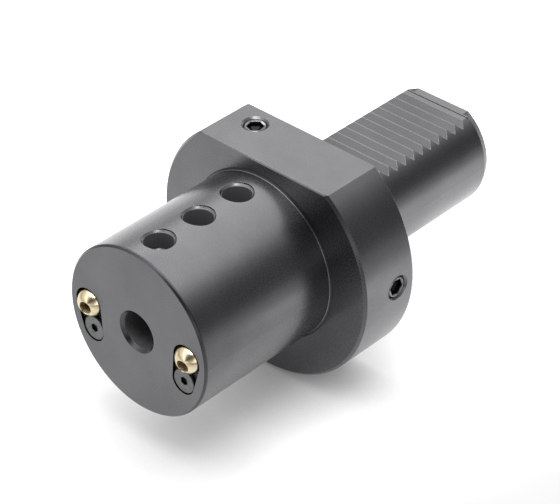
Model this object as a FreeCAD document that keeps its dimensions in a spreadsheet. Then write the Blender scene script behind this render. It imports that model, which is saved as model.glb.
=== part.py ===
import FreeCAD, Part
import math
import os
import Sketcher
from FreeCAD import Placement, Rotation, Vector

# Boring-bar holder for a lathe turret, round serrated shank of 40 mm.
# Origin: centre of the flange's seating face, on the shank's axis.
# +Y runs out along the shank, the working face looks along -Y, and +Z is the flat, toothed side.
doc = FreeCAD.newDocument("TurretHolder")

# Driving sizes, in millimetres and degrees.
SIZES = {
    "shank_d": 40,
    "shank_length": 63,
    "lead_in_length": 2.6,
    "lead_in_depth": 1.2,
    "ring_section": 2.2,
    "ring_place": 5.5,
    "ring_groove_width": 2.8,
    "flange_d": 83,
    "flange_thickness": 22,
    "flange_edge": 0.8,
    "flat_height": 32.6,
    "flat_edge": 0.4,
    "body_d": 55.6,
    "body_length": 53,
    "body_edge": 0.6,
    "body_root": 0.6,
    "tooth_pitch": 4,
    "tooth_reference": 29.7,
    "teeth_before_reference": 4,
    "tooth_gaps": 12,
    "tooth_crest_height": 15.8,
    "tooth_crest_flat": 0.4,
    "tooth_root_flat": 0.2,
    "tooth_angle": 90,
    "land_start": 9,
    "relief_slot_width": 0.4,
    "relief_slot_depth": 0.5,
    "bore_d": 12,
    "bore_length": 60,
    "bore_edge": 1.03,
    "clearance_bore_d": 13,
    "bore_plug_d": 15.03,
    "bore_plug_length": 9,
    "bore_plug_recess": 2,
    "bore_plug_key": 8,
    "bore_plug_key_depth": 5,
    "thread_gap": 0.04,
    "clamp_count": 3,
    "clamp_first": 10.15,
    "clamp_pitch": 16.2,
    "clamp_d": 9.03,
    "clamp_mouth_d": 10.4,
    "clamp_length": 12,
    "clamp_top_edge": 0.5,
    "clamp_key": 5,
    "clamp_key_depth": 5,
    "front_screw_depth": 5.2,
    "middle_screw_depth": 8.0,
    "rear_screw_depth": 8.6,
    "nozzle_radius": 20.1,
    "nozzle_lift": 0.25,
    "ball_d": 9.5,
    "ball_depth": 2,
    "ball_outlet_d": 4,
    "ball_inlet_d": 6,
    "left_ball_pitch": 3,
    "right_ball_pitch": 8,
    "left_ball_yaw": 10,
    "right_ball_yaw": 7,
    "ball_pocket_gap": 0.4,
    "seal_section": 1.5,
    "seat_gap": 0.05,
    "keeper_lean": 10.5,
    "keeper_head_d": 7.9,
    "keeper_land": 0.7,
    "keeper_sink": 0.3,
    "keeper_pocket_gap": 0.3,
    "keeper_pocket_depth": 1.9,
    "keeper_d": 3.55,
    "keeper_length": 12,
    "keeper_key": 2.5,
    "keeper_key_depth": 1.5,
    "duct_d": 5,
    "cross_duct_d": 5.5,
    "duct_overrun": 1,
    "duct_plane": 7.5,
    "top_plug_x": 16.1,
    "flange_plug_d": 7.35,
    "flange_plug_mouth_d": 8.7,
    "flange_plug_length": 6,
    "flange_plug_recess": 0.5,
    "flange_plug_edge": 0.5,
    "flange_plug_key": 4,
    "flange_plug_key_depth": 3.2,
    "inlet_d": 7,
    "inlet_height": 21.5,
}

# Sizes that follow from the driving ones.
FOLLOWING = {
    "face": "Sizes.flange_thickness + Sizes.body_length",
    "body_r": "Sizes.body_d / 2",
    "flange_r": "Sizes.flange_d / 2",
    "shank_r": "Sizes.shank_d / 2",
    "bore_r": "Sizes.bore_d / 2",
    "ring_groove_r": "Sizes.shank_d / 2 - Sizes.ring_section - 2 * Sizes.seat_gap",
    "ring_mid_r": "Sizes.shank_d / 2 - Sizes.ring_section / 2 - Sizes.seat_gap",
    "tooth_depth": "(Sizes.tooth_pitch - Sizes.tooth_crest_flat - Sizes.tooth_root_flat)"
                   " / (2 * tan(Sizes.tooth_angle / 2))",
    "first_gap": "Sizes.tooth_reference - (Sizes.teeth_before_reference + 0.5) * Sizes.tooth_pitch",
    "last_crest": "first_gap + (Sizes.tooth_gaps - 0.5) * Sizes.tooth_pitch",
    "relief_slot_place": "last_crest + Sizes.tooth_pitch / 2",
    "clamp_hole_r": "Sizes.clamp_d / 2 + Sizes.thread_gap",
    "clamp_mouth_height": "sqrt(body_r ^ 2 - (Sizes.clamp_mouth_d / 2) ^ 2)",
    "pocket_r": "Sizes.ball_d / 2 + Sizes.ball_pocket_gap",
    "seal_mid_r": "pocket_r - Sizes.seal_section / 2 - Sizes.seat_gap",
    "seal_depth": "Sizes.ball_depth + sqrt((Sizes.ball_d / 2 + Sizes.seat_gap) ^ 2"
                  " - (seal_mid_r - Sizes.seal_section / 2) ^ 2) + Sizes.seal_section / 2",
    "pocket_depth": "seal_depth + Sizes.seal_section / 2 + Sizes.seat_gap",
    "ball_r_at_keeper": "sqrt((Sizes.ball_d / 2) ^ 2"
                        " - (Sizes.ball_depth - Sizes.keeper_sink - Sizes.keeper_land) ^ 2)",
    "keeper_reach": "ball_r_at_keeper + Sizes.keeper_head_d / 2 + Sizes.seat_gap",
    "keeper_x": "Sizes.nozzle_radius - keeper_reach * sin(Sizes.keeper_lean)",
    "keeper_drop": "keeper_reach * cos(Sizes.keeper_lean) - Sizes.nozzle_lift",
    "keeper_pocket_r": "Sizes.keeper_head_d / 2 + Sizes.keeper_pocket_gap",
    "duct_end": "Sizes.cross_duct_d / 2 + Sizes.duct_overrun",
    "keeper_seat_d": "Sizes.keeper_head_d + 2 * (Sizes.keeper_sink + Sizes.keeper_land"
                     " - Sizes.keeper_pocket_depth) + 2 * Sizes.seat_gap",
}


def fill_sheet(name, cells):
    sheet = doc.addObject("Spreadsheet::Sheet", name)
    for row, (alias, content) in enumerate(cells.items(), start=1):
        sheet.set(f"A{row}", alias)
        sheet.set(f"B{row}", content)
        sheet.setAlias(f"B{row}", alias)
    doc.recompute()
    return sheet


sizes = fill_sheet("Sizes", {alias: str(number) for alias, number in SIZES.items()})
following = fill_sheet("Following", {alias: "=" + formula for alias, formula in FOLLOWING.items()})


def worth(expression):
    """The number that an expression stands for, in millimetres or degrees."""
    result = sizes.evalExpression(expression)
    return float(getattr(result, "Value", result))


def bind(thing, **expressions):
    """Tie properties of an object to cells of the sheets."""
    for name, expression in expressions.items():
        thing.setExpression(name.replace("__", "."), expression)


def new_body(label):
    body = doc.addObject("PartDesign::Body", label)
    body.Label = label
    return body


def origin_plane(body, role):
    return next(item for item in body.Origin.OriginFeatures if item.Role == role)


def new_sketch(body, name, role, offset="0"):
    """A sketch on one of the body's origin planes, moved along that plane's normal."""
    sketch = body.newObject("Sketcher::SketchObject", name)
    sketch.AttachmentSupport = (origin_plane(body, role), [""])
    sketch.MapMode = "FlatFace"
    bind(sketch, AttachmentOffset__Base__z=offset)
    return sketch


def hold_point(sketch, geometry, end, across, up):
    """Fix one point of a sketch at two expressions, measured from the sketch's origin."""
    for kind, axis, expression in (("DistanceX", -2, across), ("DistanceY", -1, up)):
        if expression == "0":
            sketch.addConstraint(Sketcher.Constraint("PointOnObject", geometry, end, axis))
            continue
        number = worth(expression)
        row = sketch.addConstraint(Sketcher.Constraint(kind, -1, 1, geometry, end, number))
        sketch.setExpression(f"Constraints[{row}]", expression)


def outline(sketch, corners):
    """A closed outline of straight edges through corners given as pairs of expressions."""
    places = [Vector(worth(across), worth(up), 0) for across, up in corners]
    first = sketch.GeometryCount
    count = len(places)
    for index, place in enumerate(places):
        sketch.addGeometry(Part.LineSegment(place, places[(index + 1) % count]))
    for index in range(count):
        following_edge = first + (index + 1) % count
        sketch.addConstraint(Sketcher.Constraint("Coincident", first + index, 2, following_edge, 1))
    for index, (across, up) in enumerate(corners):
        hold_point(sketch, first + index, 1, across, up)


def circle(sketch, across, up, radius):
    centre = Vector(worth(across), worth(up), 0)
    geometry = sketch.addGeometry(Part.Circle(centre, Vector(0, 0, 1), worth(radius)))
    hold_point(sketch, geometry, 3, across, up)
    row = sketch.addConstraint(Sketcher.Constraint("Radius", geometry, worth(radius)))
    sketch.setExpression(f"Constraints[{row}]", radius)


def hexagon(sketch, across_flats):
    """A hexagon about the sketch's origin, with two corners on its upright axis."""
    half = f"({across_flats}) / 2"
    side = f"({across_flats}) / (2 * sqrt(3))"
    tip = f"({across_flats}) / sqrt(3)"
    outline(sketch, [("0", tip), (half, side), (half, f"-{side}"), ("0", f"-{tip}"),
                     (f"-{half}", f"-{side}"), (f"-{half}", side)])


def new_feature(body, kind, name):
    """A feature whose faces stay as drawn, so that the shank's toothed stretch keeps a wall of its own."""
    feature = body.newObject("PartDesign::" + kind, name)
    feature.Refine = False
    return feature


def turned(body, name, sketch):
    """A solid turned from a half profile about the sketch's upright axis."""
    turn = new_feature(body, "Revolution", name)
    turn.Profile = sketch
    turn.ReferenceAxis = (sketch, ["V_Axis"])
    turn.Angle = 360
    return turn


def bored(body, name, sketch, axis="V_Axis"):
    """A cut turned from a half profile about an axis of the sketch."""
    cut = new_feature(body, "Groove", name)
    cut.Profile = sketch
    cut.ReferenceAxis = (sketch, [axis])
    cut.Angle = 360
    return cut


def milled(body, name, sketch, depth, reverse=False):
    """A straight cut below a sketch, to a depth."""
    cut = new_feature(body, "Pocket", name)
    cut.Profile = sketch
    cut.Reversed = reverse
    bind(cut, Length=depth)
    return cut


def milled_across(body, name, sketch):
    """A straight cut right through, to both sides of a sketch."""
    cut = new_feature(body, "Pocket", name)
    cut.Profile = sketch
    cut.Midplane = True
    cut.Type = "ThroughAll"
    return cut


def row_of(body, name, features, sketch, axis, length, count):
    """Equal steps of features along a sketch's axis."""
    pattern = new_feature(body, "LinearPattern", name)
    pattern.Originals = features
    pattern.Direction = (sketch, [axis])
    bind(pattern, Length=length, Occurrences=count)
    body.Tip = pattern
    return pattern


def tapped(body, name, sketch, diameter, depth, mouth):
    """A tapped hole at its mean thread diameter, with a countersunk mouth."""
    doc.recompute()
    hole = new_feature(body, "Hole", name)
    hole.Profile = sketch
    doc.recompute()
    hole.DepthType = "Dimension"
    hole.HoleCutType = "Countersink"
    hole.HoleCutCustomValues = True
    hole.HoleCutCountersinkAngle = 90
    hole.DrillPoint = "Flat"
    bind(hole, Diameter=diameter, Depth=depth, HoleCutDiameter=mouth)
    return hole


def make_holder_body():
    body = new_body("holder_body")

    # Turned outside: body, flange, shank with its ring groove and lead-in.
    sketch = new_sketch(body, "outside_profile", "XY_Plane")
    outline(sketch, [
        ("0", "-Following.face"),
        ("Following.body_r - Sizes.body_edge", "-Following.face"),
        ("Following.body_r", "-Following.face + Sizes.body_edge"),
        ("Following.body_r", "-Sizes.flange_thickness - Sizes.body_root"),
        ("Following.body_r + Sizes.body_root", "-Sizes.flange_thickness"),
        ("Following.flange_r - Sizes.flange_edge", "-Sizes.flange_thickness"),
        ("Following.flange_r", "-Sizes.flange_thickness + Sizes.flange_edge"),
        ("Following.flange_r", "-Sizes.flange_edge"),
        ("Following.flange_r - Sizes.flange_edge", "0"),
        ("Following.shank_r", "0"),
        ("Following.shank_r", "Sizes.ring_place - Sizes.ring_groove_width / 2"),
        ("Following.ring_groove_r", "Sizes.ring_place - Sizes.ring_groove_width / 2"),
        ("Following.ring_groove_r", "Sizes.ring_place + Sizes.ring_groove_width / 2"),
        ("Following.shank_r", "Sizes.ring_place + Sizes.ring_groove_width / 2"),
        ("Following.shank_r", "Sizes.land_start"),
        ("Following.shank_r", "Sizes.shank_length - Sizes.lead_in_length"),
        ("Following.shank_r - Sizes.lead_in_depth", "Sizes.shank_length"),
        ("0", "Sizes.shank_length"),
    ])
    turned(body, "turned_outside", sketch)

    # Bored inside: the tool's bore, the clearance behind it and the thread of the rear plug.
    sketch = new_sketch(body, "bore_profile", "XY_Plane")
    plug_r = "Sizes.bore_plug_d / 2 + Sizes.thread_gap"
    plug_start = "Sizes.shank_length - Sizes.bore_plug_recess - Sizes.bore_plug_length"
    outline(sketch, [
        ("0", "-Following.face"),
        ("Following.bore_r + Sizes.bore_edge", "-Following.face"),
        ("Following.bore_r", "-Following.face + Sizes.bore_edge"),
        ("Following.bore_r", "-Following.face + Sizes.bore_length"),
        ("Sizes.clearance_bore_d / 2", "-Following.face + Sizes.bore_length"),
        ("Sizes.clearance_bore_d / 2", plug_start),
        (plug_r, plug_start),
        (plug_r, "Sizes.shank_length - Sizes.bore_edge"),
        (f"{plug_r} + Sizes.bore_edge", "Sizes.shank_length"),
        ("0", "Sizes.shank_length"),
    ])
    bored(body, "bored_inside", sketch)

    # Flat on the flange, with its front and rear edges broken.
    sketch = new_sketch(body, "flat_section", "YZ_Plane")
    outline(sketch, [
        ("-Sizes.flange_thickness", "Sizes.flat_height - Sizes.flat_edge"),
        ("-Sizes.flange_thickness + Sizes.flat_edge", "Sizes.flat_height"),
        ("-Sizes.flat_edge", "Sizes.flat_height"),
        ("0", "Sizes.flat_height - Sizes.flat_edge"),
        ("0", "Following.flange_r"),
        ("-Sizes.flange_thickness", "Following.flange_r"),
    ])
    milled_across(body, "flange_flat", sketch)

    # Toothed land along the shank.
    sketch = new_sketch(body, "land_section", "YZ_Plane")
    outline(sketch, [
        ("Sizes.land_start", "Sizes.tooth_crest_height"),
        ("Sizes.shank_length", "Sizes.tooth_crest_height"),
        ("Sizes.shank_length", "Following.shank_r"),
        ("Sizes.land_start", "Following.shank_r"),
    ])
    milled_across(body, "toothed_land", sketch)

    # Serration: one gap between teeth, then the row of them, then the relief slot at its end.
    sketch = new_sketch(body, "gap_section", "YZ_Plane")
    half_mouth = "(Sizes.tooth_pitch - Sizes.tooth_crest_flat) / 2"
    half_root = "Sizes.tooth_root_flat / 2"
    root_height = "Sizes.tooth_crest_height - Following.tooth_depth"
    outline(sketch, [
        (f"Following.first_gap - {half_mouth}", "Sizes.tooth_crest_height"),
        (f"Following.first_gap - {half_root}", root_height),
        (f"Following.first_gap + {half_root}", root_height),
        (f"Following.first_gap + {half_mouth}", "Sizes.tooth_crest_height"),
    ])
    gap = milled_across(body, "tooth_gap", sketch)
    row_of(body, "serration", [gap], sketch, "H_Axis",
           "(Sizes.tooth_gaps - 1) * Sizes.tooth_pitch", "Sizes.tooth_gaps")

    sketch = new_sketch(body, "relief_section", "YZ_Plane")
    half_slot = "Sizes.relief_slot_width / 2"
    slot_floor = "Sizes.tooth_crest_height - Sizes.relief_slot_depth"
    outline(sketch, [
        (f"Following.relief_slot_place - {half_slot}", slot_floor),
        (f"Following.relief_slot_place + {half_slot}", slot_floor),
        (f"Following.relief_slot_place + {half_slot}", "Sizes.tooth_crest_height"),
        (f"Following.relief_slot_place - {half_slot}", "Sizes.tooth_crest_height"),
    ])
    milled_across(body, "relief_slot", sketch)

    # Clamping-screw holes, from the top into the bore.
    sketch = new_sketch(body, "clamp_hole_section", "YZ_Plane")
    place = "-Following.face + Sizes.clamp_first"
    mouth_r = "Sizes.clamp_mouth_d / 2"
    outline(sketch, [
        (place, "0"),
        (f"{place} + Following.clamp_hole_r", "0"),
        (f"{place} + Following.clamp_hole_r",
         f"Following.clamp_mouth_height - {mouth_r} + Following.clamp_hole_r"),
        (f"{place} + {mouth_r}", "Following.clamp_mouth_height"),
        (f"{place} + {mouth_r}", "Following.flange_r"),
        (place, "Following.flange_r"),
    ])
    foot = Vector(worth(place), 0, 0)
    axis = sketch.addGeometry(Part.LineSegment(foot, foot + Vector(0, worth("Following.flange_r"), 0)), True)
    hold_point(sketch, axis, 1, place, "0")
    hold_point(sketch, axis, 2, place, "Following.flange_r")
    hole = bored(body, "clamp_hole", sketch, "Axis0")
    row_of(body, "clamp_holes", [hole], sketch, "H_Axis",
           "(Sizes.clamp_count - 1) * Sizes.clamp_pitch", "Sizes.clamp_count")

    # Nozzle pocket, the keeper screw's pocket beside it, and the coolant duct behind the ball.
    sketch = new_sketch(body, "ball_pocket_circle", "XZ_Plane", "Following.face")
    circle(sketch, "-Sizes.nozzle_radius", "Sizes.nozzle_lift", "Following.pocket_r")
    ball_pocket = milled(body, "ball_pocket", sketch, "Following.pocket_depth")

    sketch = new_sketch(body, "keeper_pocket_outline", "XZ_Plane", "Following.face")
    hull_outline(sketch)
    keeper_pocket = milled(body, "keeper_pocket", sketch, "Sizes.keeper_pocket_depth")

    sketch = new_sketch(body, "duct_circle", "XZ_Plane", "Following.face")
    circle(sketch, "-Sizes.nozzle_radius", "Sizes.nozzle_lift", "Sizes.duct_d / 2")
    duct = milled(body, "nozzle_duct", sketch, "Following.face - Sizes.duct_plane + Following.duct_end")

    sketch = new_sketch(body, "keeper_hole_circle", "XZ_Plane", "Following.face - Sizes.keeper_pocket_depth")
    circle(sketch, "-Following.keeper_x", "-Following.keeper_drop", "Sizes.keeper_d / 2")
    keeper_hole = tapped(body, "keeper_hole", sketch, "Sizes.keeper_d + 2 * Sizes.thread_gap",
                         "Sizes.keeper_length + 2", "Following.keeper_seat_d")

    mirror = new_feature(body, "Mirrored", "right_hand_nozzle")
    mirror.Originals = [ball_pocket, keeper_pocket, duct, keeper_hole]
    mirror.MirrorPlane = (origin_plane(body, "YZ_Plane"), [""])
    body.Tip = mirror

    # Cross duct from the flange's rim, and the duct down from the flat.
    sketch = new_sketch(body, "cross_duct_circle", "YZ_Plane", "Following.flange_r")
    circle(sketch, "-Sizes.duct_plane", "0", "Sizes.cross_duct_d / 2")
    milled(body, "cross_duct", sketch, "Following.flange_r + Sizes.nozzle_radius + Following.duct_end")
    sketch = new_sketch(body, "side_plug_circle", "YZ_Plane", "Following.flange_r")
    circle(sketch, "-Sizes.duct_plane", "0", "Sizes.flange_plug_d / 2")
    plug_depth = "Sizes.flange_plug_recess + Sizes.flange_plug_length + 1"
    tapped(body, "side_plug_hole", sketch, "Sizes.flange_plug_d + 2 * Sizes.thread_gap",
           plug_depth, "Sizes.flange_plug_mouth_d")

    sketch = new_sketch(body, "top_duct_circle", "XY_Plane", "Sizes.flat_height")
    circle(sketch, "-Sizes.top_plug_x", "-Sizes.duct_plane", "Sizes.duct_d / 2")
    milled(body, "top_duct", sketch, "Sizes.flat_height + Following.duct_end")
    sketch = new_sketch(body, "top_plug_circle", "XY_Plane", "Sizes.flat_height")
    circle(sketch, "-Sizes.top_plug_x", "-Sizes.duct_plane", "Sizes.flange_plug_d / 2")
    tapped(body, "top_plug_hole", sketch, "Sizes.flange_plug_d + 2 * Sizes.thread_gap",
           plug_depth, "Sizes.flange_plug_mouth_d")

    # Coolant inlet in the seating face.
    sketch = new_sketch(body, "inlet_circle", "XZ_Plane")
    circle(sketch, "-Sizes.top_plug_x", "Sizes.inlet_height", "Sizes.inlet_d / 2")
    milled(body, "coolant_inlet", sketch, "Sizes.duct_plane + Following.duct_end", reverse=True)
    return body


def hull_outline(sketch):
    """Two arcs, round the ball's pocket and round the keeper's head, joined by two tangent edges."""
    ball = Vector(-worth("Sizes.nozzle_radius"), worth("Sizes.nozzle_lift"), 0)
    keeper = Vector(-worth("Following.keeper_x"), -worth("Following.keeper_drop"), 0)
    ball_r = worth("Following.pocket_r")
    keeper_r = worth("Following.keeper_pocket_r")
    run = keeper - ball
    heading = math.atan2(run.y, run.x)
    swing = math.acos((ball_r - keeper_r) / run.Length)

    def rim(centre, radius, angle):
        return centre + Vector(radius * math.cos(angle), radius * math.sin(angle), 0)

    up = Vector(0, 0, 1)
    ball_arc = Part.ArcOfCircle(Part.Circle(ball, up, ball_r), heading + swing, heading - swing + 2 * math.pi)
    keeper_arc = Part.ArcOfCircle(Part.Circle(keeper, up, keeper_r), heading - swing, heading + swing)
    first = sketch.addGeometry(ball_arc)
    second = sketch.addGeometry(Part.LineSegment(rim(ball, ball_r, heading - swing),
                                                 rim(keeper, keeper_r, heading - swing)))
    third = sketch.addGeometry(keeper_arc)
    fourth = sketch.addGeometry(Part.LineSegment(rim(keeper, keeper_r, heading + swing),
                                                 rim(ball, ball_r, heading + swing)))
    for one, one_end, other, other_end in ((first, 2, second, 1), (second, 2, third, 1),
                                           (third, 2, fourth, 1), (fourth, 2, first, 1)):
        sketch.addConstraint(Sketcher.Constraint("Tangent", one, one_end, other, other_end))
    hold_point(sketch, first, 3, "-Sizes.nozzle_radius", "Sizes.nozzle_lift")
    hold_point(sketch, third, 3, "-Following.keeper_x", "-Following.keeper_drop")
    for geometry, radius in ((first, "Following.pocket_r"), (third, "Following.keeper_pocket_r")):
        row = sketch.addConstraint(Sketcher.Constraint("Radius", geometry, worth(radius)))
        sketch.setExpression(f"Constraints[{row}]", radius)


def make_socket_screw(label, profile, key, key_depth, base, tilt=Rotation()):
    """A headless screw, drawn upright with its socket's rim at the origin, then put in its hole."""
    body = new_body(label)
    sketch = new_sketch(body, label + "_profile", "XZ_Plane")
    outline(sketch, profile)
    turned(body, label + "_turned", sketch)
    sketch = new_sketch(body, label + "_socket", "XY_Plane")
    hexagon(sketch, key)
    milled(body, label + "_key", sketch, key_depth)
    body.Placement = Placement(Vector(), tilt)
    bind(body, Placement__Base__x=base[0], Placement__Base__y=base[1], Placement__Base__z=base[2])
    return body


def make_clamp_screws():
    half = "Sizes.clamp_d / 2"
    profile = [
        ("0", "0"),
        (f"{half} - Sizes.clamp_top_edge", "0"),
        (half, "-Sizes.clamp_top_edge"),
        (half, "-Sizes.clamp_length"),
        ("0", "-Sizes.clamp_length"),
    ]
    screws = []
    for step, place in enumerate(("front", "middle", "rear")):
        base = ("0", f"-Following.face + Sizes.clamp_first + {step} * Sizes.clamp_pitch",
                f"Following.clamp_mouth_height - Sizes.{place}_screw_depth")
        screws.append(make_socket_screw(f"clamp_screw_{place}", profile, "Sizes.clamp_key",
                                        "Sizes.clamp_key_depth", base))
    return screws


def make_flange_plugs():
    half = "Sizes.flange_plug_d / 2"
    profile = [
        ("0", "0"),
        (f"{half} - Sizes.flange_plug_edge", "0"),
        (half, "-Sizes.flange_plug_edge"),
        (half, "-Sizes.flange_plug_length"),
        ("0", "-Sizes.flange_plug_length"),
    ]
    top = make_socket_screw("flange_plug_top", profile, "Sizes.flange_plug_key",
                            "Sizes.flange_plug_key_depth",
                            ("-Sizes.top_plug_x", "-Sizes.duct_plane",
                             "Sizes.flat_height - Sizes.flange_plug_recess"))
    side = make_socket_screw("flange_plug_side", profile, "Sizes.flange_plug_key",
                             "Sizes.flange_plug_key_depth",
                             ("Following.flange_r - Sizes.flange_plug_recess", "-Sizes.duct_plane", "0"),
                             Rotation(Vector(0, 1, 0), 90))
    return [top, side]


def make_bore_plug():
    half = "Sizes.bore_plug_d / 2"
    profile = [
        ("0", "0"),
        (f"{half} - Sizes.bore_edge", "0"),
        (half, "-Sizes.bore_edge"),
        (half, "-Sizes.bore_plug_length + Sizes.seat_gap"),
        ("0", "-Sizes.bore_plug_length + Sizes.seat_gap"),
    ]
    return make_socket_screw("bore_plug", profile, "Sizes.bore_plug_key", "Sizes.bore_plug_key_depth",
                             ("0", "Sizes.shank_length - Sizes.bore_plug_recess", "0"),
                             Rotation(Vector(1, 0, 0), -90))


def make_keeper_screw(label, side):
    """Countersunk screw that holds a ball nozzle down with the rim of its head."""
    head = "Sizes.keeper_head_d / 2"
    stem = "Sizes.keeper_d / 2"
    profile = [
        ("0", "0"),
        (head, "0"),
        (head, "-Sizes.keeper_land"),
        (stem, f"-Sizes.keeper_land - {head} + {stem}"),
        (stem, "-Sizes.keeper_length"),
        ("0", "-Sizes.keeper_length"),
    ]
    base = (f"{side} * Following.keeper_x", "-Following.face + Sizes.keeper_sink", "-Following.keeper_drop")
    return make_socket_screw(label, profile, "Sizes.keeper_key", "Sizes.keeper_key_depth", base,
                             Rotation(Vector(1, 0, 0), 90))


def make_ball_nozzle(label, side, yaw, pitch):
    """Brass ball turned about its jet, bored through, with a cone at its inlet."""
    body = new_body(label)
    sketch = new_sketch(body, label + "_profile", "XY_Plane")
    ball = worth("Sizes.ball_d / 2")
    outlet = worth("Sizes.ball_outlet_d / 2")
    inlet = worth("Sizes.ball_inlet_d / 2")
    first = -math.acos(outlet / ball)
    last = math.acos(inlet / ball)
    arc = sketch.addGeometry(Part.ArcOfCircle(Part.Circle(Vector(), Vector(0, 0, 1), ball), first, last))
    corners = [
        Vector(inlet, ball * math.sin(last), 0),
        Vector(outlet, ball * math.sin(last) / 2, 0),
        Vector(outlet, ball * math.sin(first), 0),
    ]
    cone = sketch.addGeometry(Part.LineSegment(corners[0], corners[1]))
    bore = sketch.addGeometry(Part.LineSegment(corners[1], corners[2]))
    for one, one_end, other, other_end in ((arc, 2, cone, 1), (cone, 2, bore, 1), (bore, 2, arc, 1)):
        sketch.addConstraint(Sketcher.Constraint("Coincident", one, one_end, other, other_end))
    sketch.addConstraint(Sketcher.Constraint("Coincident", arc, 3, -1, 1))
    sketch.addConstraint(Sketcher.Constraint("Vertical", bore))
    for kind, from_place, to_place, expression in (
        ("Radius", (arc,), (), "Sizes.ball_d / 2"),
        ("DistanceX", (-1, 1), (bore, 1), "Sizes.ball_outlet_d / 2"),
        ("DistanceX", (-1, 1), (cone, 1), "Sizes.ball_inlet_d / 2"),
        ("DistanceY", (-1, 1), (bore, 1), "Sizes.ball_d / 6"),
    ):
        row = sketch.addConstraint(Sketcher.Constraint(kind, *from_place, *to_place, worth(expression)))
        sketch.setExpression(f"Constraints[{row}]", expression)
    turned(body, label + "_turned", sketch)
    aim = Rotation(Vector(0, 0, 1), worth(yaw)) * Rotation(Vector(1, 0, 0), worth(pitch))
    body.Placement = Placement(Vector(), aim)
    bind(body, Placement__Base__x=f"{side} * Sizes.nozzle_radius",
         Placement__Base__y="-Following.face + Sizes.ball_depth", Placement__Base__z="Sizes.nozzle_lift")
    return body


def make_ring(label, mid_radius, section, base):
    """A rubber ring of square section, turned about an axis along Y."""
    body = new_body(label)
    sketch = new_sketch(body, label + "_profile", "XY_Plane")
    half = f"({section}) / 2"
    outline(sketch, [
        (f"{mid_radius} - {half}", f"-{half}"),
        (f"{mid_radius} + {half}", f"-{half}"),
        (f"{mid_radius} + {half}", half),
        (f"{mid_radius} - {half}", half),
    ])
    turned(body, label + "_turned", sketch)
    bind(body, Placement__Base__x=base[0], Placement__Base__y=base[1], Placement__Base__z=base[2])
    return body


def make_nozzles():
    pieces = []
    for name, side in (("left", -1), ("right", 1)):
        place = f"{side} * Sizes.nozzle_radius"
        pieces.append(make_ball_nozzle(f"nozzle_{name}", side, f"Sizes.{name}_ball_yaw",
                                       f"Sizes.{name}_ball_pitch"))
        pieces.append(make_ring(f"nozzle_seal_{name}", "Following.seal_mid_r", "Sizes.seal_section",
                                (place, "-Following.face + Following.seal_depth", "Sizes.nozzle_lift")))
        pieces.append(make_keeper_screw(f"nozzle_screw_{name}", side))
    return pieces


parts = [make_holder_body()]
parts += make_clamp_screws()
parts += make_nozzles()
parts += make_flange_plugs()
parts.append(make_bore_plug())
parts.append(make_ring("shank_seal_ring", "Following.ring_mid_r", "Sizes.ring_section",
                       ("0", "Sizes.ring_place", "0")))
doc.recompute()

for item in doc.Objects:
    if "Invalid" in item.State or "Error" in item.State:
        raise RuntimeError(f"{item.Label} did not compute: {item.State}")
for part in parts:
    if part.Shape.isNull() or not part.Shape.isValid():
        raise RuntimeError(f"{part.Label} has no sound shape")

os.makedirs("parts", exist_ok=True)
for part in parts:
    part.Shape.exportStep(f"parts/{part.Label}.step")
    print(part.Label, len(part.Shape.Solids), round(part.Shape.Volume, 1))
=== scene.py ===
import bmesh
import bpy
import math
from mathutils import Matrix, Vector


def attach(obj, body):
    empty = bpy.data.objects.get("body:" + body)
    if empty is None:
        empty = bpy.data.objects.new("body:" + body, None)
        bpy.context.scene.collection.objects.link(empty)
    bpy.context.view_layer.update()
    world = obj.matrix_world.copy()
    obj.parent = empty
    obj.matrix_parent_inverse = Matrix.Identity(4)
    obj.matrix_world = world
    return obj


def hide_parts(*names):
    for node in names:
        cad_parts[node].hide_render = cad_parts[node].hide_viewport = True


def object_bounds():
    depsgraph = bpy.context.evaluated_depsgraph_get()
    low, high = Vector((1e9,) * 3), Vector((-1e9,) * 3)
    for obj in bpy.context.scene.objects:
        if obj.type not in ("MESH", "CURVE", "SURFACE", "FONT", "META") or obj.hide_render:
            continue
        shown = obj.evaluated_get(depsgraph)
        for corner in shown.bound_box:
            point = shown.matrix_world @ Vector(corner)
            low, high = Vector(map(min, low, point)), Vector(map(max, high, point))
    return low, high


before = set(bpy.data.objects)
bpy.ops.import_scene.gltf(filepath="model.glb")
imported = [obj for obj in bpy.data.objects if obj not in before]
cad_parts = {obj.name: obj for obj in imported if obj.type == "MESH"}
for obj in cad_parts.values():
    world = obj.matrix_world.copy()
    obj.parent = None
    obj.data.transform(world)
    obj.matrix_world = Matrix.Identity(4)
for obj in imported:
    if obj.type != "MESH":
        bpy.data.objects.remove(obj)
cadLow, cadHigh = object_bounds()
mm = 0.001
print("frame loaded:", len(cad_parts), "nodes")


# Colours are sRGB hex, turned to linear here.
def colour(hexCode):
    channels = [int(hexCode[i:i + 2], 16) / 255 for i in (1, 3, 5)]
    return [c / 12.92 if c <= 0.04045 else ((c + 0.055) / 1.055) ** 2.4 for c in channels] + [1]


# One node with its settings and links. Inputs go by name or, as i0, i1 and so on, by number;
# a socket given as a value is linked, and "stops" fills a colour ramp.
def add(tree, kind, settings=None, **inputs):
    node = tree.nodes.new("ShaderNode" + kind)
    for name, value in (settings or {}).items():
        if name == "stops":
            points = node.color_ramp.elements
            while len(points) < len(value):
                points.new(1)
            for point, (place, shade) in zip(points, value):
                point.position = place
                point.color = colour(shade)
        else:
            setattr(node, name, value)
    for name, value in inputs.items():
        socket = node.inputs[int(name[1:]) if name[1:].isdigit() else name.replace("_", " ")]
        if isinstance(value, bpy.types.NodeSocket):
            tree.links.new(value, socket)
        else:
            socket.default_value = value
    return node


def newMaterial(name):
    material = bpy.data.materials.new(name)
    material.use_nodes = True
    material.node_tree.nodes.clear()
    return material, material.node_tree


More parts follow.
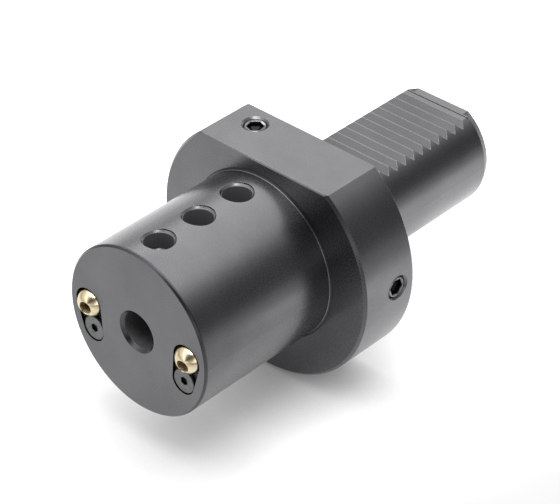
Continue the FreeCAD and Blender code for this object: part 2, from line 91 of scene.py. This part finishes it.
# Settings that many nodes share.
ofColours = {"data_type": "RGBA"}
smoothly = {"interpolation_type": "SMOOTHSTEP"}
times = {"operation": "MULTIPLY"}
dotProduct = {"operation": "DOT_PRODUCT"}

# Materials

# Black-oxided steel, turned and milled: magnetite on steel, a satin grey-black metal that shows
# bare steel where an edge has rubbed. Walls of bore, holes and pockets are left dull by the bath's
# salts. The corner at the flange, the rim of the front face, the flange's front edge and the cone at
# the shank's end carry painted shade: darker colours that stand in for shade and darker reflections.
# Walls and painted shade zones are rings about the axis: distances from it and places along it, both in
# mm.
blackOxide = {
    "base": "#6d6d6f",
    "dark": "#666668",
    "worn": "#949494",
    "roughness": 0.27,
    "edge": 0.10 * mm,
    "cloud": 18 * mm,  # uneven colour of the oxide bath
    "grain": 0.30 * mm,  # crystal grain, drawn coarser than the real few microns so that it shows
    "grainDepth": 0.0012 * mm,
    "walls": ((0, 27.05), (-73.95, -24)),
    "wallMetal": 0.55,
    "wallRoughness": 0.5,
    # Painted shade: these rings are mixed to darker colours in place of shade and darker reflections.
    "paintedShadeZones": {
        "frontRim": ((0, 28.5), (-74.97, -73.98), "#505053"),
        "shankCone": ((18.72, 20.1), (60.45, 63.1), "#404042"),
        "flangeCorner": ((0, 28.5), (-22.42, -21.9), "#333335"),
        "flangeEdge": ((40.68, 41.55), (-22.05, -21.15), "#5e5e60"),
    },
}
# Screw steel: cold-formed and blackened, or phosphated to a dull mid grey on the keeper screws.
blackScrew = {"base": "#5a5a5c", "dark": "#4e4e50", "worn": "#8c8c8c", "roughness": 0.30,
              "edge": 0.10 * mm, "cloud": 3 * mm, "grain": 0.25 * mm, "grainDepth": 0.004 * mm}
greyScrew = {"base": "#727574", "dark": "#646766", "worn": "#a8aaa8", "roughness": 0.42,
             "edge": 0.12 * mm, "cloud": 1.2 * mm, "grain": 0.25 * mm, "grainDepth": 0.006 * mm}
# Socket walls: nearly black, a painted shade that stands in for the shade deep in the sockets.
paintedShadeSocket = {"base": "#2e2e30", "dark": "#262628", "worn": "#3a3a3c", "roughness": 0.55,
              "edge": 0.05 * mm, "cloud": 1.5 * mm, "grain": 0.25 * mm, "grainDepth": 0.004 * mm}
# What all the steels share. Wear shows where the rounded normal leans away from the flat one, from
# the first cosine to the second.
anySteel = {"cloudDark": 0.35, "cloudBase": 0.65, "roughnessSpread": 0.03, "bump": 0.5,
            "wearStart": 0.995, "wearFull": 0.8, "wearMost": 0.2}


# Mask of a ring about the axis, between two distances from it and two places along it.
def ringMask(tree, place, distances, along):
    x, y, z = add(tree, "SeparateXYZ", Vector=place).outputs
    sideways = add(tree, "CombineXYZ", X=x, Y=z)
    fromAxis = add(tree, "VectorMath", {"operation": "LENGTH"}, i0=sideways.outputs[0])
    near, beside = (add(tree, "Math", {"operation": "COMPARE"}, i0=value, i1=(low + high) / 2 * mm,
                        i2=(high - low) / 2 * mm)
                    for value, (low, high) in ((fromAxis.outputs["Value"], distances), (y, along)))
    return add(tree, "Math", times, i0=near.outputs[0], i1=beside.outputs[0]).outputs[0]


def makeSteel(name, finish):
    material, tree = newMaterial(name)
    place = add(tree, "TexCoord").outputs["Object"]
    cloud = add(tree, "TexNoise", Vector=place, Scale=1 / finish["cloud"], Detail=4, Roughness=0.6)
    base = add(tree, "ValToRGB", {"stops": [(anySteel["cloudDark"], finish["dark"]),
                                            (anySteel["cloudBase"], finish["base"])]},
               i0=cloud.outputs[0])
    grain = add(tree, "TexNoise", Vector=place, Scale=1 / finish["grain"], Detail=2)
    rough = add(tree, "MapRange", Value=grain.outputs[0], i1=0.3, i2=0.7,
                i3=finish["roughness"] - anySteel["roughnessSpread"],
                i4=finish["roughness"] + anySteel["roughnessSpread"])
    rounded = add(tree, "Bevel", {"samples": 6}, Radius=finish["edge"])
    lean = add(tree, "VectorMath", dotProduct, i0=rounded.outputs[0],
               i1=add(tree, "NewGeometry").outputs["Normal"])
    wear = add(tree, "MapRange", Value=lean.outputs["Value"], i1=anySteel["wearStart"],
               i2=anySteel["wearFull"], i3=0.0, i4=anySteel["wearMost"])
    shade = add(tree, "Mix", ofColours, i0=wear.outputs[0], i6=base.outputs[0], i7=colour(finish["worn"]))
    # Painted shade: each zone's ring is mixed to its darker colour, standing in for shade and darker
    # reflections.
    for distances, along, paintedZoneShade in finish.get("paintedShadeZones", {}).values():
        shade = add(tree, "Mix", ofColours, i0=ringMask(tree, place, distances, along),
                    i6=shade.outputs[2], i7=colour(paintedZoneShade))
    bump = add(tree, "Bump", Height=grain.outputs[0], Distance=finish["grainDepth"],
               Strength=anySteel["bump"], Normal=rounded.outputs[0])
    shader = add(tree, "BsdfPrincipled", Base_Color=shade.outputs[2], Metallic=1.0,
                 Roughness=rough.outputs[0], Normal=bump.outputs[0])
    if "walls" in finish:
        wall = ringMask(tree, place, *finish["walls"])
        metal = add(tree, "MapRange", Value=wall, i3=1.0, i4=finish["wallMetal"])
        wallRough = add(tree, "Mix", i0=wall, i2=rough.outputs[0], i3=finish["wallRoughness"])
        tree.links.new(metal.outputs[0], shader.inputs["Metallic"])
        tree.links.new(wallRough.outputs[0], shader.inputs["Roughness"])
    add(tree, "OutputMaterial", i0=shader.outputs[0])
    return material


# Turned brass, pale and polished by the lathe tool, dulled a little in patches by coolant. The
# drilled walls are tarnished brown, with little of the metal's mirror left.
paleBrass = {
    "base": "#e6d8ba",
    "dull": "#d2bf98",
    "roughness": 0.14,
    "dullRoughness": 0.22,
    "patch": 2.2 * mm,
    "feed": 0.22 * mm,  # marks of the tool's feed, drawn coarser than the real 0.05 mm or so
    "feedDepth": 0.0008 * mm,
    "bore": "#7a6038",
    "boreRoughness": 0.5,
    "boreMetal": 0.3,
}


def makeBrass(name, finish, centre, aim):
    material, tree = newMaterial(name)
    place = add(tree, "TexCoord").outputs["Object"]
    patch = add(tree, "TexNoise", Vector=place, Scale=1 / finish["patch"], Detail=3)
    base = add(tree, "ValToRGB", {"stops": [(0.3, finish["dull"]), (0.62, finish["base"])]},
               i0=patch.outputs[0])
    rough = add(tree, "MapRange", Value=patch.outputs[0], i1=0.3, i2=0.7,
                i3=finish["dullRoughness"], i4=finish["roughness"])
    fromCentre = add(tree, "VectorMath", {"operation": "SUBTRACT"}, i0=place, i1=centre)
    along = add(tree, "VectorMath", dotProduct, i0=fromCentre.outputs[0], i1=aim)
    phase = add(tree, "Math", times, i0=along.outputs["Value"], i1=2 * math.pi / finish["feed"])
    wave = add(tree, "Math", {"operation": "SINE"}, i0=phase.outputs[0])
    bump = add(tree, "Bump", Height=wave.outputs[0], Distance=finish["feedDepth"], Strength=0.6)
    shader = add(tree, "BsdfPrincipled", Base_Color=base.outputs[0], Metallic=1.0,
                 Roughness=rough.outputs[0], Normal=bump.outputs[0])
    add(tree, "OutputMaterial", i0=shader.outputs[0])
    return material


def makeBoreBrass(name, finish):
    material, tree = newMaterial(name)
    place = add(tree, "TexCoord").outputs["Object"]
    patch = add(tree, "TexNoise", Vector=place, Scale=2 / finish["patch"], Detail=3)
    base = add(tree, "ValToRGB", {"stops": [(0.3, finish["bore"]), (0.7, finish["dull"])]},
               i0=patch.outputs[0])
    shader = add(tree, "BsdfPrincipled", Base_Color=base.outputs[0], Metallic=finish["boreMetal"],
                 Roughness=finish["boreRoughness"])
    add(tree, "OutputMaterial", i0=shader.outputs[0])
    return material


# Nitrile rubber, moulded: near black with a dull sheen and a trace of talc.
sealRubber = {"base": "#1c1c1c", "talc": "#2a2a2a", "roughness": 0.58, "grain": 0.4 * mm,
              "grainDepth": 0.01 * mm}


def makeRubber(name, finish):
    material, tree = newMaterial(name)
    place = add(tree, "TexCoord").outputs["Object"]
    grain = add(tree, "TexNoise", Vector=place, Scale=1 / finish["grain"], Detail=3)
    base = add(tree, "ValToRGB", {"stops": [(0.35, finish["base"]), (0.7, finish["talc"])]},
               i0=grain.outputs[0])
    bump = add(tree, "Bump", Height=grain.outputs[0], Distance=finish["grainDepth"], Strength=0.4)
    shader = add(tree, "BsdfPrincipled", Base_Color=base.outputs[0], Roughness=finish["roughness"],
                 Normal=bump.outputs[0])
    add(tree, "OutputMaterial", i0=shader.outputs[0])
    return material


oxide = makeSteel("satinBlackOxideSteel", blackOxide)
screwBlack = makeSteel("blackOxideScrewSteel", blackScrew)
screwGrey = makeSteel("greyPhosphatedScrewSteel", greyScrew)
# Painted shade: the nearly black socket walls stand in for shade deep in the sockets.
paintedShadeSocketWall = makeSteel("paintedShadeSocketWallSteel", paintedShadeSocket)
rubber = makeRubber("mouldedNitrileRubber", sealRubber)
boreBrass = makeBoreBrass("drilledTarnishedBrass", paleBrass)
carriedOver = {"holder_body": oxide, "nozzle_seal_left": rubber, "nozzle_seal_right": rubber}
for nodeName, material in carriedOver.items():
    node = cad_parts[nodeName]
    node.data.materials.clear()
    node.data.materials.append(material)
print("materials made")

# Pieces: their sizes and places are in mm, and their turns in degrees.

roundCount = 48  # points round every screw ring, a multiple of six for the sockets


# A ring of points at a height: round, or a hexagon whose sides are divided to the same count.
def ring(mesh, radius, height, corners=0):
    points = bmesh.ops.create_circle(mesh, segments=corners or roundCount, radius=radius)["verts"]
    edges = list({edge for point in points for edge in point.link_edges})
    if corners:
        cut = bmesh.ops.subdivide_edges(mesh, edges=edges, cuts=roundCount // corners - 1)
        edges = [item for item in cut["geom"] if isinstance(item, bmesh.types.BMEdge)]
        points = list({point for edge in edges for point in edge.verts})
    bmesh.ops.translate(mesh, vec=(0, 0, height), verts=points)
    return edges


# Rings bridged in order and closed at both ends. The socket's walls and floor, which are the last
# two bridges and the last cap, take the second material.
def shell(rings):
    mesh = bmesh.new()
    loops = [ring(mesh, *row) for row in rings]
    for index, (one, other) in enumerate(zip(loops, loops[1:])):
        for face in bmesh.ops.bridge_loops(mesh, edges=one + other)["faces"]:
            face.material_index = 1 if index >= len(loops) - 3 else 0
    for end in (loops[0], loops[-1]):
        for face in bmesh.ops.edgeloop_fill(mesh, edges=end)["faces"]:
            face.material_index = 1 if end is loops[-1] else 0
    return mesh


# The piece is put in its place with its own axis, +Z in the drawing, along the given direction.
def keepPiece(name, mesh, place, axis, materials, body, turn=0.0, sharp=30):
    turned = Matrix.Rotation(math.radians(turn), 3, "Z")
    bmesh.ops.rotate(mesh, verts=mesh.verts, cent=(0, 0, 0), matrix=turned)
    aimed = Vector(axis).to_track_quat("Z", "Y").to_matrix().to_4x4()
    placed = Matrix.Translation(Vector(place) * mm) @ aimed @ Matrix.Scale(mm, 4)
    bmesh.ops.transform(mesh, matrix=placed, verts=mesh.verts)
    bmesh.ops.recalc_face_normals(mesh, faces=mesh.faces)
    data = bpy.data.meshes.new(name)
    mesh.to_mesh(data)
    mesh.free()
    data.shade_smooth()
    data.set_sharp_from_angle(angle=math.radians(sharp))
    for material in materials:
        data.materials.append(material)
    piece = bpy.data.objects.new(name, data)
    bpy.context.scene.collection.objects.link(piece)
    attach(piece, body)
    return piece


# Hexagon socket. The mouth and the corners lie a little under the top, and the drill's cone at the
# bottom starts and ends at shares of the width across the flats.
hexSocket = {"mouthDrop": 0.05, "cornerDrop": 0.12, "coneShare": 0.45, "tipShare": 0.06}


def socketRings(sizes):
    across, mouth, depth = sizes["socket"], sizes["socketMouth"], sizes["socketDepth"]
    corner = across / math.sqrt(3)
    return [(mouth, -hexSocket["mouthDrop"]), (corner, -(mouth - corner) - hexSocket["cornerDrop"], 6),
            (corner, -depth + hexSocket["coneShare"] * across, 6),
            (hexSocket["tipShare"] * across, -depth)]


# A headless screw or plug: chamfered at the hidden end and at the top, with its socket.
def headless(sizes):
    radius, length, edge, end = (sizes[key] for key in ("radius", "length", "edge", "endEdge"))
    return shell([(radius - end, -length), (radius, -length + end), (radius, -edge),
                  (radius - edge, 0.0)] + socketRings(sizes))


# Clamping screws: headless, flat-pointed, with a hexagon socket countersunk at its mouth.
clampScrews = {
    "radius": 4.515, "length": 12.0, "edge": 0.5, "endEdge": 0.6,
    "socket": 5.0, "socketMouth": 3.2, "socketDepth": 5.0,
    "tops": {"front": 22.109, "middle": 19.309, "rear": 18.709},
    "first": -64.85, "pitch": 16.2, "turnStep": 17,
}
for step, (name, top) in enumerate(clampScrews["tops"].items()):
    place = (0, clampScrews["first"] + step * clampScrews["pitch"], top)
    piece = keepPiece("clampScrew_" + name, headless(clampScrews), place, (0, 0, 1),
                      (screwBlack, paintedShadeSocketWall), name + "_screw",
                      turn=clampScrews["turnStep"] * step)
    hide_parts("clamp_screw_" + name)

# Keeper screws: countersunk heads whose rims hold the balls in their pockets.
keeperScrews = {
    "head": 3.95, "land": 0.7, "stem": 1.775, "length": 12.0, "edge": 0.12, "endEdge": 0.4,
    "socket": 2.5, "socketMouth": 1.5, "socketDepth": 2.3,
    "x": 18.525, "y": -74.7, "z": -8.249, "turns": {"left": 12, "right": 4},
}
for side, name in ((-1, "left"), (1, "right")):
    head, land, stem, length, edge, end = (
        keeperScrews[key] for key in ("head", "land", "stem", "length", "edge", "endEdge"))
    rings = [(stem - end, -length), (stem, -length + end), (stem, -land - head + stem), (head, -land),
             (head, -edge), (head - edge, 0.0)] + socketRings(keeperScrews)
    place = (side * keeperScrews["x"], keeperScrews["y"], keeperScrews["z"])
    piece = keepPiece("keeperScrew_" + name, shell(rings), place, (0, -1, 0), (screwGrey, paintedShadeSocketWall),
                      "holder", turn=keeperScrews["turns"][name])
    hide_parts("nozzle_screw_" + name)

# Duct plugs in the flange and the large plug in the shank's end.
flangePlug = {"radius": 3.675, "length": 6.0, "edge": 0.5, "endEdge": 0.5,
              "socket": 4.8, "socketMouth": 2.85, "socketDepth": 4.0}
plugs = {
    "flange_plug_top": {**flangePlug, "place": (-16.1, -7.5, 32.1), "axis": (0, 0, 1), "turn": 13},
    "flange_plug_side": {**flangePlug, "place": (41.0, -7.5, 0), "axis": (1, 0, 0), "turn": 20},
    "bore_plug": {"radius": 7.515, "length": 8.95, "edge": 1.03, "endEdge": 0.5,
                  "socket": 8.0, "socketMouth": 5.1, "socketDepth": 5.0,
                  "place": (0, 61.0, 0), "axis": (0, 1, 0), "turn": 9},
}
for nodeName, plug in plugs.items():
    piece = keepPiece(nodeName.replace("_", ""), headless(plug), plug["place"], plug["axis"],
                      (oxide, paintedShadeSocketWall), "holder", turn=plug["turn"])
    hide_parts(nodeName)
print("screws and plugs made")

# Ball nozzles: turned balls, bored through, with the sharp rim of the jet just broken.
ballNozzles = {
    "ball": 4.75, "bore": 2.0, "rim": 0.14, "inlet": 3.0, "rows": 40, "sharp": 35,
    "x": 20.1, "y": -73.0, "z": 0.25,
    "left": {"side": -1, "yaw": 10, "down": 3}, "right": {"side": 1, "yaw": 7, "down": 8},
}


def makeBall(sizes):
    mesh = bmesh.new()
    bmesh.ops.create_uvsphere(mesh, u_segments=roundCount, v_segments=sizes["rows"],
                              radius=sizes["ball"])
    cuts = []
    for radius, sign in ((sizes["bore"] + sizes["rim"], 1), (sizes["inlet"], -1)):
        height = sign * math.sqrt(sizes["ball"] ** 2 - radius ** 2)
        everything = mesh.verts[:] + mesh.edges[:] + mesh.faces[:]
        bmesh.ops.bisect_plane(mesh, geom=everything, plane_co=(0, 0, height), plane_no=(0, 0, sign),
                               clear_outer=True)
        edges = [edge for edge in mesh.edges if edge.is_boundary and edge.verts[0].co.z * sign > 0]
        cuts.append((height, edges))
    (top, jetEdges), (bottom, inletEdges) = cuts
    rim = ring(mesh, sizes["bore"], top - sizes["rim"])
    throat = ring(mesh, sizes["bore"], bottom / 2)
    for one, other in ((jetEdges, rim), (rim, throat), (throat, inletEdges)):
        for face in bmesh.ops.bridge_loops(mesh, edges=one + other)["faces"]:
            face.material_index = 0 if other is rim else 1  # the broken edge stays bright
    return mesh


for name in ("left", "right"):
    jet = ballNozzles[name]
    yaw, down = math.radians(jet["yaw"]), math.radians(jet["down"])
    aim = Vector((math.sin(yaw) * math.cos(down), -math.cos(yaw) * math.cos(down), -math.sin(down)))
    place = Vector((jet["side"] * ballNozzles["x"], ballNozzles["y"], ballNozzles["z"]))
    brass = makeBrass("turnedPaleBrass_" + name, paleBrass, place * mm, aim)
    piece = keepPiece("ballNozzle_" + name, makeBall(ballNozzles), place, aim, (brass, boreBrass),
                      name + "_nozzle", sharp=ballNozzles["sharp"])
    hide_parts("nozzle_" + name)
print("ball nozzles made")

# Seal ring in the groove next to the flange, round in section.
sealRing = {"middle": 18.85, "section": 1.1, "sides": 20, "steps": 96, "y": 5.5, "sharp": 80}
mesh = bmesh.new()
circle = bmesh.ops.create_circle(mesh, segments=sealRing["sides"], radius=sealRing["section"])["verts"]
upright = Matrix.Rotation(math.radians(90), 3, "X")
bmesh.ops.rotate(mesh, verts=circle, cent=(0, 0, 0), matrix=upright)
bmesh.ops.translate(mesh, vec=(sealRing["middle"], 0, 0), verts=circle)
bmesh.ops.spin(mesh, geom=mesh.verts[:] + mesh.edges[:], cent=(0, 0, 0), axis=(0, 0, 1),
               angle=2 * math.pi, steps=sealRing["steps"], use_merge=True)
bmesh.ops.remove_doubles(mesh, verts=mesh.verts, dist=0.001)
piece = keepPiece("shankSealRing", mesh, (0, sealRing["y"], 0), (0, 1, 0), (rubber,),
                  "holder", sharp=sealRing["sharp"])
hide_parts("shank_seal_ring")
print("seal ring made")

# Camera: fitted to the photograph's outline.
photoCamera = {"azimuth": 42.705, "elevation": 35.579, "focalPixels": 2359.6, "frameWidth": 560,
               "sensor": 36, "across": 9.476 * mm, "up": 8.927 * mm, "away": 725.857 * mm}
azimuth = math.radians(photoCamera["azimuth"])
elevation = math.radians(photoCamera["elevation"])
backward = Vector((math.sin(azimuth) * math.cos(elevation), -math.cos(azimuth) * math.cos(elevation),
                   math.sin(elevation)))
rightward = Vector((math.cos(azimuth), math.sin(azimuth), 0))
upward = backward.cross(rightward)
lens = bpy.data.cameras.new("photoCamera")
lens.sensor_width = photoCamera["sensor"]
lens.lens = photoCamera["focalPixels"] * photoCamera["sensor"] / photoCamera["frameWidth"]
lens.clip_start = 0.05
lens.clip_end = 20
camera = bpy.data.objects.new("photoCamera", lens)
bpy.context.scene.collection.objects.link(camera)
stand = (backward * photoCamera["away"] - rightward * photoCamera["across"]
         - upward * photoCamera["up"])
facing = Matrix((rightward, upward, backward)).transposed().to_4x4()
camera.matrix_world = Matrix.Translation(stand) @ facing
bpy.context.scene.camera = camera

# Floor: an opal plastic sheet just under the flange, lit by the tent and the lamps. Camera, metal
# and glass also see a painted glow from it: white emission, dimmed by a painted shadow from occlusion
# under the holder. Its colour holds painted shade for the holder's shadow and dimmer light: darker in
# front of the holder, darker again beside it, and grey outside the picture's right edge, as is the glow.
paintedLightSheet = {
    "drop": 0.5 * mm, "halfSize": 1.5,
    "frontPaintedShade": "#8c8c8c", "backPaintedShade": "#c6c6c6", "frontEnd": -0.095, "backStart": -0.015,
    "speck": 0.8 * mm, "speckShade": 0.97,
    "besidePaintedShadow": 0.25, "besideX": (0.005, 0.11), "besideY": (0.05, -0.005),
    "farPaintedShade": 0.45, "greyX": (0.11, 0.20),
    "paintedGlow": 0.67, "paintedShadowReach": 0.028,
}
floorMesh = bmesh.new()
bmesh.ops.create_grid(floorMesh, x_segments=1, y_segments=1, size=paintedLightSheet["halfSize"],
                      matrix=Matrix.Translation((0, 0, cadLow[2] - paintedLightSheet["drop"])))
floorData = bpy.data.meshes.new("sheetFloor")
floorMesh.to_mesh(floorData)
floorMesh.free()
floor = bpy.data.objects.new("sheetFloor", floorData)
bpy.context.scene.collection.objects.link(floor)
material, tree = newMaterial("paintedLightSheetFloor")
place = add(tree, "TexCoord").outputs["Object"]
x, y, z = add(tree, "SeparateXYZ", Vector=place).outputs
# Painted shade: the sheet's colour is darker towards the front of the holder.
along = add(tree, "MapRange", Value=y, i1=paintedLightSheet["frontEnd"], i2=paintedLightSheet["backStart"])
paintedSweep = add(tree, "Mix", ofColours, i0=along.outputs[0], i6=colour(paintedLightSheet["frontPaintedShade"]),
            i7=colour(paintedLightSheet["backPaintedShade"]))
speckle = add(tree, "TexNoise", Vector=place, Scale=1 / paintedLightSheet["speck"], Detail=2)
speck = add(tree, "MapRange", Value=speckle.outputs[0], i1=0.3, i2=0.7,
            i3=paintedLightSheet["speckShade"], i4=1.0)
# Painted shadow: darker beside the holder, to its front right, where its shadow would fall.
toRight, toFront = (add(tree, "MapRange", smoothly, Value=value, i1=start, i2=end)
                    for value, (start, end) in ((x, paintedLightSheet["besideX"]), (y, paintedLightSheet["besideY"])))
beside = add(tree, "Math", times, i0=toRight.outputs[0], i1=toFront.outputs[0])
besidePaintedShadow = add(tree, "MapRange", Value=beside.outputs[0], i3=1.0, i4=paintedLightSheet["besidePaintedShadow"])
# Painted shade: grey towards the far right, in the sheet's colour and in its glow.
farPaintedFade = add(tree, "MapRange", smoothly, Value=x, i1=paintedLightSheet["greyX"][0],
               i2=paintedLightSheet["greyX"][1], i3=1.0, i4=paintedLightSheet["farPaintedShade"])
shades = add(tree, "Math", times, i0=besidePaintedShadow.outputs[0], i1=farPaintedFade.outputs[0])
shades = add(tree, "Math", times, i0=speck.outputs[0], i1=shades.outputs[0])
sheetColourAndPaintedShade = add(tree, "VectorMath", {"operation": "SCALE"}, i0=paintedSweep.outputs[2],
                 Scale=shades.outputs[0])
diffuse = add(tree, "BsdfDiffuse", Color=sheetColourAndPaintedShade.outputs[0])
# Painted shadow: ambient occlusion dims the glow under and near the holder.
paintedShadowOcclusion = add(tree, "AmbientOcclusion", {"samples": 8}, Distance=paintedLightSheet["paintedShadowReach"])
paintedGlowShadow = add(tree, "Math", times, i0=paintedShadowOcclusion.outputs["AO"], i1=farPaintedFade.outputs[0])
strength = add(tree, "Math", times, i0=paintedGlowShadow.outputs[0], i1=paintedLightSheet["paintedGlow"])
# Painted glow: white emission, though the sheet is no lamp, seen by the camera and in metal and glass.
white = add(tree, "Emission", Color=(1, 1, 1, 1), Strength=strength.outputs[0])
paintedGlowing = add(tree, "AddShader", i0=diffuse.outputs[0], i1=white.outputs[0])
path = add(tree, "LightPath").outputs
seen = add(tree, "Math", {"operation": "ADD"}, i0=path["Is Camera Ray"], i1=path["Is Glossy Ray"])
seen = add(tree, "Math", {"operation": "ADD", "use_clamp": True}, i0=seen.outputs[0],
           i1=path["Is Transmission Ray"])
sheet = add(tree, "MixShader", i0=seen.outputs[0], i1=diffuse.outputs[0], i2=paintedGlowing.outputs[0])
add(tree, "OutputMaterial", i0=sheet.outputs[0])
floorData.materials.append(material)

# World: a white tent seen round the shank's axis, with one run of shades behind the holder and one
# in front of it. Angles run from the right, over the top, to the left. The tent is open to a darker
# room at the front right: "opening" is the direction, and the cosines say where it starts and ends.
whiteTent = {
    "strength": 2.2,
    "back": [(-180, "#ececec"), (-170, "#ececec"), (-90, "#aaaaaa"), (-30, "#818181"), (-8, "#767676"),
             (2, "#5d5d5d"), (10, "#555555"), (26, "#555555"), (34, "#616161"), (42, "#7c7c7c"),
             (49, "#9b9b9b"), (56, "#bcbcbc"), (62, "#d7d7d7"), (70, "#e2e2e2"), (100, "#efefef"),
             (136, "#ffffff"), (145, "#b5b5b5"), (152, "#a2a2a2"), (160, "#a6a6a6"), (168, "#c2c2c2"),
             (176, "#e2e2e2"), (180, "#ececec")],
    "front": [(-180, "#8b8b8b"), (-90, "#959595"), (-30, "#e7e7e7"), (14, "#e7e7e7"), (30, "#a2a2a2"),
              (42, "#616161"), (62, "#696969"), (90, "#b5b5b5"), (105, "#e1e1e1"), (120, "#ececec"),
              (135, "#c2c2c2"), (150, "#b5b5b5"), (170, "#909090"), (180, "#8b8b8b")],
    "frontEnd": -0.2, "backStart": 0.35,
    "opening": (0.50, -0.72, 0.48), "roomCosine": 0.94, "wallCosine": 0.78, "roomShade": 0.36,
}
world = bpy.data.worlds.new("whiteTent")
bpy.context.scene.world = world
world.use_nodes = True
tree = world.node_tree
tree.nodes.clear()
direction = add(tree, "TexCoord").outputs["Generated"]
x, y, z = add(tree, "SeparateXYZ", Vector=direction).outputs
sideways = add(tree, "CombineXYZ", X=x, Y=z)
roundAxis = add(tree, "TexGradient", {"gradient_type": "RADIAL"}, Vector=sideways.outputs[0])
back, front = (add(tree, "ValToRGB", {"stops": [(0.5 + angle / 360, shade) for angle, shade in run]},
                   i0=roundAxis.outputs["Fac"]) for run in (whiteTent["back"], whiteTent["front"]))
toBack = add(tree, "MapRange", smoothly, Value=y, i1=whiteTent["frontEnd"], i2=whiteTent["backStart"])
toRoom = add(tree, "VectorMath", dotProduct, i0=direction, i1=whiteTent["opening"])
doorway = add(tree, "MapRange", smoothly, Value=toRoom.outputs["Value"], i1=whiteTent["roomCosine"],
              i2=whiteTent["wallCosine"], i3=whiteTent["roomShade"], i4=1.0)
dimmed = add(tree, "VectorMath", {"operation": "SCALE"}, i0=front.outputs[0], Scale=doorway.outputs[0])
tent = add(tree, "Mix", ofColours, i0=toBack.outputs[0], i6=dimmed.outputs[0], i7=back.outputs[0])
soft = add(tree, "Background", Color=tent.outputs[2], Strength=whiteTent["strength"])
add(tree, "OutputWorld", i0=soft.outputs[0])

# Lamps: two square soft boxes, one from the left and one over the flange.
softBoxes = {
    "leftBox": {"place": (-0.75, 0.20, 0.80), "aim": (0, 0, 0), "size": 0.5, "watts": 4.0},
    "topBox": {"place": (0.07, -0.09, 0.42), "aim": (0.05, 0.02, 0), "size": 0.32, "watts": 2.0},
}
for name, box in softBoxes.items():
    light = bpy.data.lights.new(name, "AREA")
    light.size = box["size"]
    light.energy = box["watts"]
    lamp = bpy.data.objects.new(name, light)
    bpy.context.scene.collection.objects.link(lamp)
    away = (Vector(box["place"]) - Vector(box["aim"])).to_track_quat("Z", "Y")
    lamp.matrix_world = Matrix.Translation(box["place"]) @ away.to_matrix().to_4x4()
print("studio set")

bpy.context.scene.view_settings.view_transform = "Standard"
